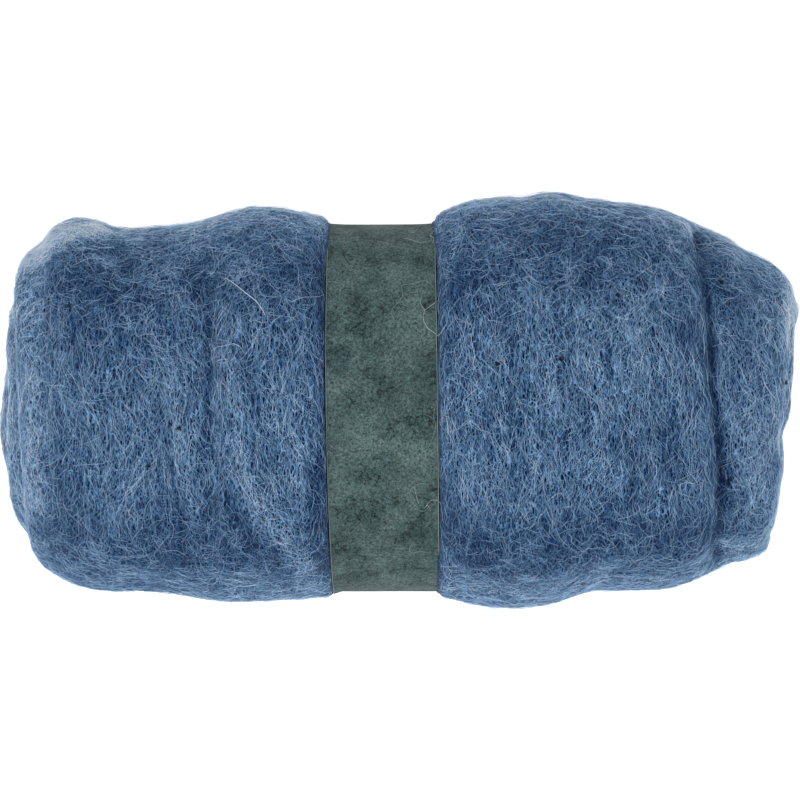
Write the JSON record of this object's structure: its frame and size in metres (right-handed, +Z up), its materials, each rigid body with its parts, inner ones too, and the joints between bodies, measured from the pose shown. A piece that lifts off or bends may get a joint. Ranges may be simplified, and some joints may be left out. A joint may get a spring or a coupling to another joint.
{
  "type": "wool roving roll with paper band",
  "caption": "Soft roll of carded wool roving wound on itself into a bolster shape, drawn in at the waist by a plain paper band; for felting and spinning.",
  "frame": {"origin": "on the surface that the roll lies on, under the middle of its bounding box", "axes": "+X along the roll, +Y across it towards the back, +Z up"},
  "size_m": [0.2788, 0.1458, 0.119],
  "materials": {
    "wool": "matte grey-blue carded wool, loose fine crimped fibres with a pale fuzz at the edges",
    "band": "matte uncoated paper, mottled grey-green"
  },
  "bodies": {
    "root": {"wool_roll": "wool", "paper_band": "band"}
  },
  "joints": []
}
